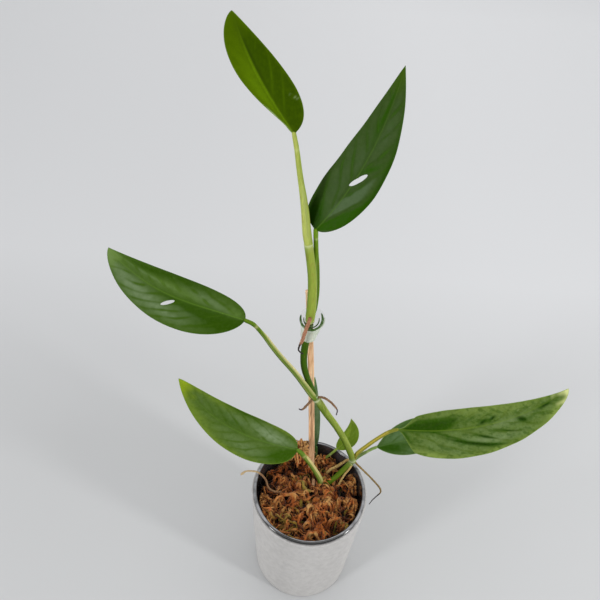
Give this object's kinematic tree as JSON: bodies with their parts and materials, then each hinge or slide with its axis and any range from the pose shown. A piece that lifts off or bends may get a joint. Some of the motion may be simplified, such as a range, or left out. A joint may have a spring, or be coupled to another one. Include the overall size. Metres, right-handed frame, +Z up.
{
  "type": "potted monstera obliqua",
  "caption": "Young climbing monstera with long waxy leaves, some holed, tied to a wooden stake in moss, in a black nursery pot inside a pale matte cover pot.",
  "frame": {"origin": "centre of the cover pot's flat base, on the surface that it stands on", "axes": "+Z up along the pot's axis; -Y the side the plant is seen from; the long waved leaf points to +X"},
  "size_m": [0.3134, 0.1081, 0.4522],
  "materials": {
    "pot_ceramic": "matte, fine speckle, like cast concrete",
    "black_plastic": "glossy",
    "dried_moss": "matte, fibrous",
    "pale_wood": "split, unfinished",
    "milky_band": "soft, translucent",
    "stem_green": "satin living stem",
    "stalk_green": "satin living stalk",
    "young_leaf": "satin living leaf, olive green",
    "mature_leaf": "satin living leaf, dark green",
    "brown_root": "dry, matte",
    "straw_root": "dry, matte"
  },
  "bodies": {
    "root": {"outer_pot": "pot_ceramic", "inner_pot": "black_plastic", "moss_bed": "dried_moss", "wooden_stake": "pale_wood", "tie_band": "milky_band", "main_stem": "stem_green", "petiole_1": "stalk_green", "petiole_2": "stalk_green", "petiole_3": "stalk_green", "petiole_4": "stalk_green", "petiole_5": "stalk_green", "petiole_6": "stalk_green", "petiole_7": "stalk_green", "petiole_8": "stalk_green", "leaf_blade_1": "young_leaf", "leaf_blade_2": "mature_leaf", "leaf_blade_3": "mature_leaf", "leaf_blade_4": "mature_leaf", "leaf_blade_5": "mature_leaf", "leaf_blade_6": "mature_leaf", "leaf_blade_7": "young_leaf", "leaf_blade_8": "mature_leaf", "root_over_tie": "brown_root", "root_left_node": "brown_root", "root_right_node": "brown_root", "root_right_hanging": "brown_root", "root_into_moss": "straw_root", "root_straw": "straw_root", "root_over_lip": "straw_root"}
  },
  "joints": []
}
